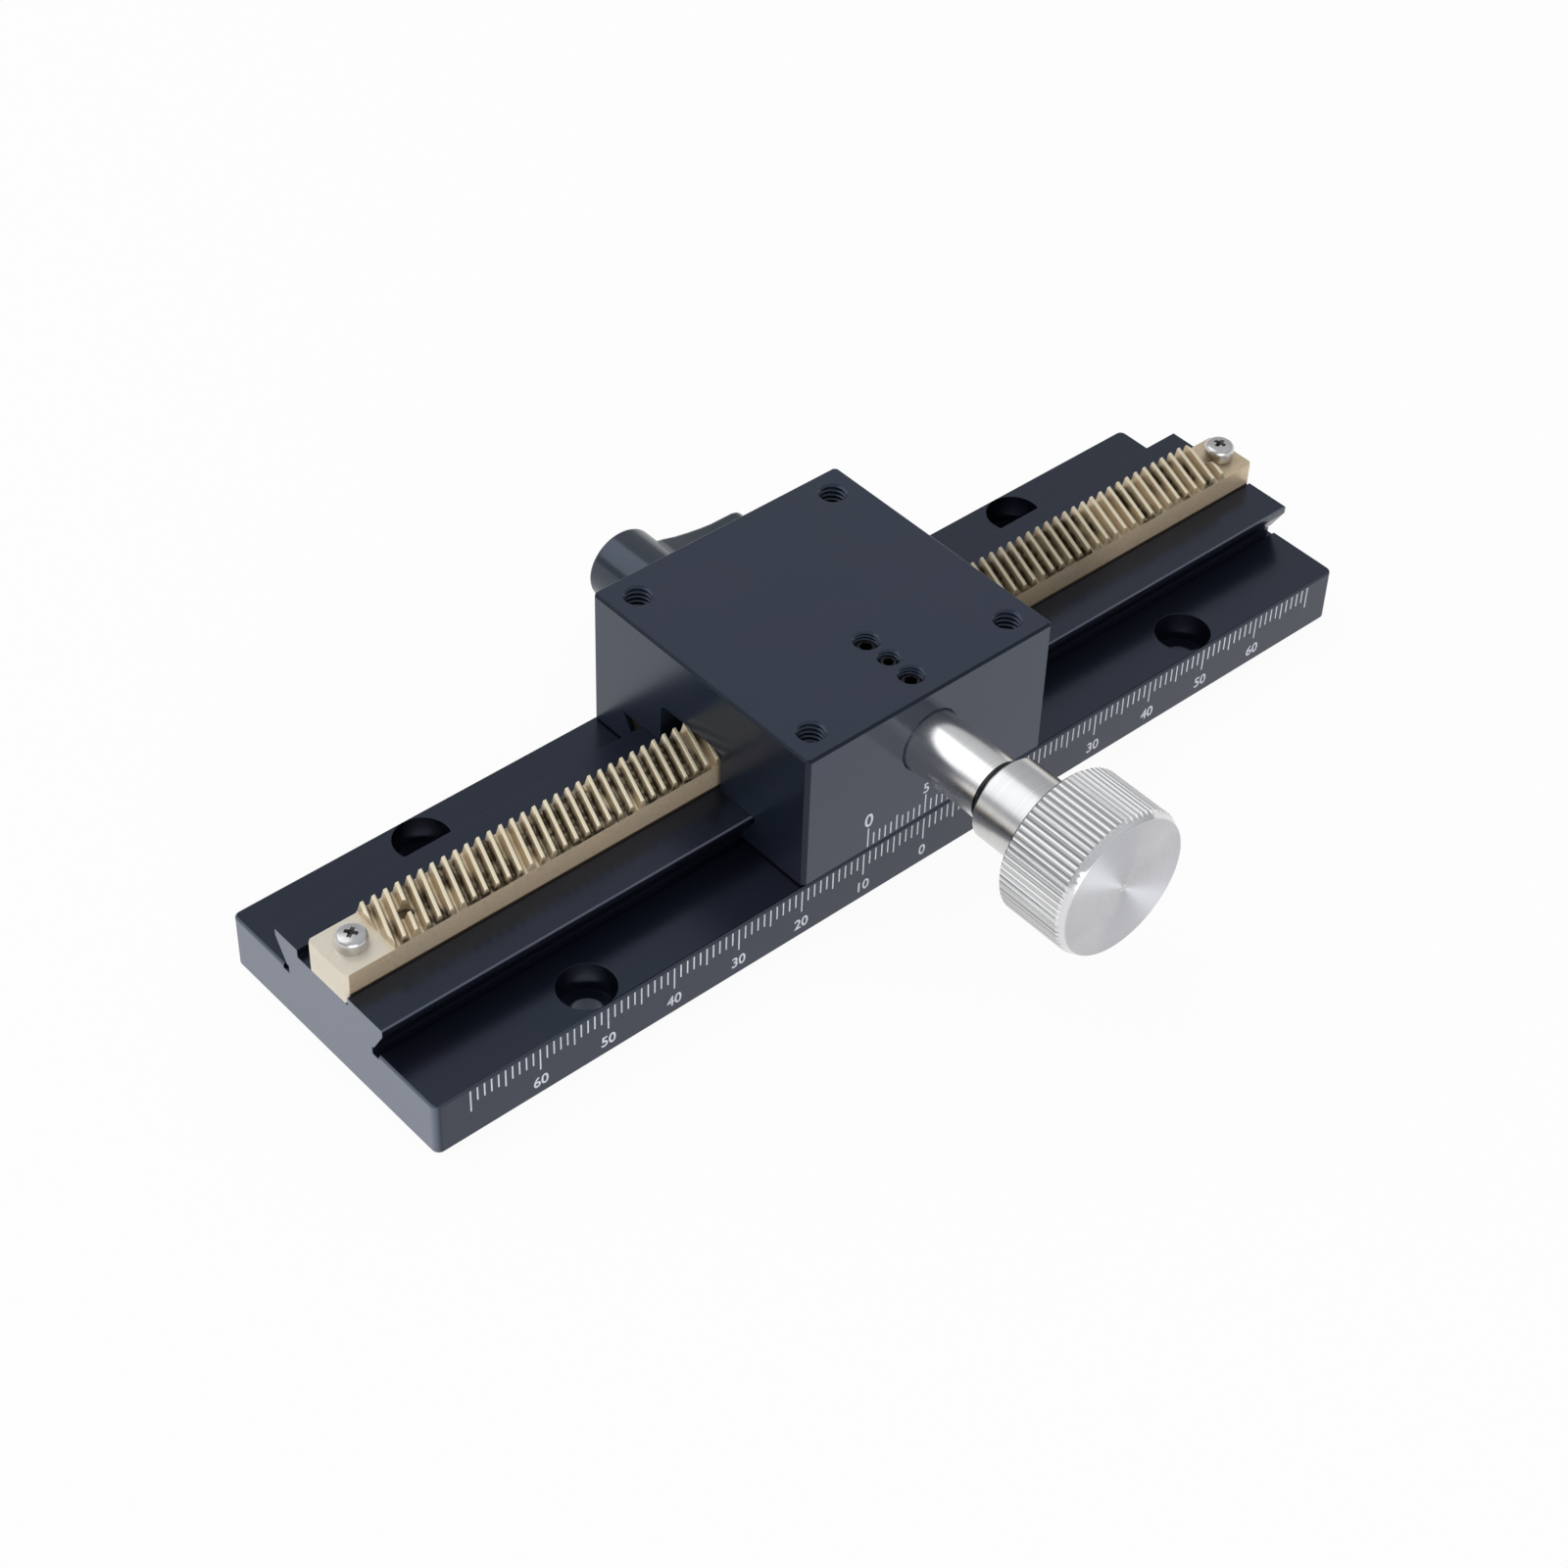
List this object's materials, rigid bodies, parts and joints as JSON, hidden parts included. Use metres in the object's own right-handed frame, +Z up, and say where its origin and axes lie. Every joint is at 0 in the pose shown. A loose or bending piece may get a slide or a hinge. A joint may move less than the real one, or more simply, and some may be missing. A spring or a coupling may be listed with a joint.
{
  "type": "dovetail slide",
  "caption": "Manual dovetail linear slide: rail with brass rack, square carriage moved by a knob's pinion, gib and clamp lever at the back.",
  "frame": {"origin": "centre of the rail's underside", "axes": "+X along the travel, to the right seen from the knob; +Z up, out of the table; the knob points to -Y"},
  "size_m": [0.15, 0.0922, 0.0307],
  "materials": {
    "black_anodised": "satin black anodised",
    "rack_brass": "milled",
    "nickel_screw": "nickel plated",
    "black_screw": "black oxide",
    "gib_metal": "ground",
    "nylon": "natural",
    "washer_black": "matt",
    "polished_steel": "polished",
    "bronze": "sintered",
    "shaft_steel": "ground",
    "turned_steel": "turned",
    "lever_black": "satin black"
  },
  "bodies": {
    "base": {"base_rail": "black_anodised", "rack": "rack_brass", "rack_screws": "nickel_screw", "rack_dowel_pin": "nickel_screw"},
    "carriage": {"carriage_block": "black_anodised", "gib": "gib_metal", "gib_screws": "black_screw", "clamp_plug": "rack_brass", "pinion_bushing": "polished_steel", "bushing_set_screws": "black_screw", "drag_screw": "black_screw", "drag_plug": "nylon", "rear_bush": "bronze"},
    "drive": {"pinion_shaft": "shaft_steel", "thrust_washer": "washer_black", "knob": "turned_steel", "knob_set_screw": "black_screw"},
    "lever": {"lever_handle": "lever_black", "clamp_stud": "shaft_steel", "lever_screw": "black_screw"}
  },
  "joints": [
    {"name": "carriage_slide", "type": "slide", "parent": "base", "child": "carriage", "axis": [1, 0, 0], "range_m": [-0.055, 0.055]},
    {"name": "knob_turn", "type": "hinge", "parent": "carriage", "child": "drive", "pos_m": [0, -0.02, 0.0207], "axis": [0, 1, 0], "range_deg": [-915, 915]},
    {"name": "clamp_turn", "type": "hinge", "parent": "carriage", "child": "lever", "pos_m": [0, 0.02, 0.0105], "axis": [0, 1, 0], "range_deg": [-90, 20]}
  ],
  "couplings": [
    {"joint": "knob_turn", "follows": "carriage_slide", "rad_per_m": 289.14}
  ]
}
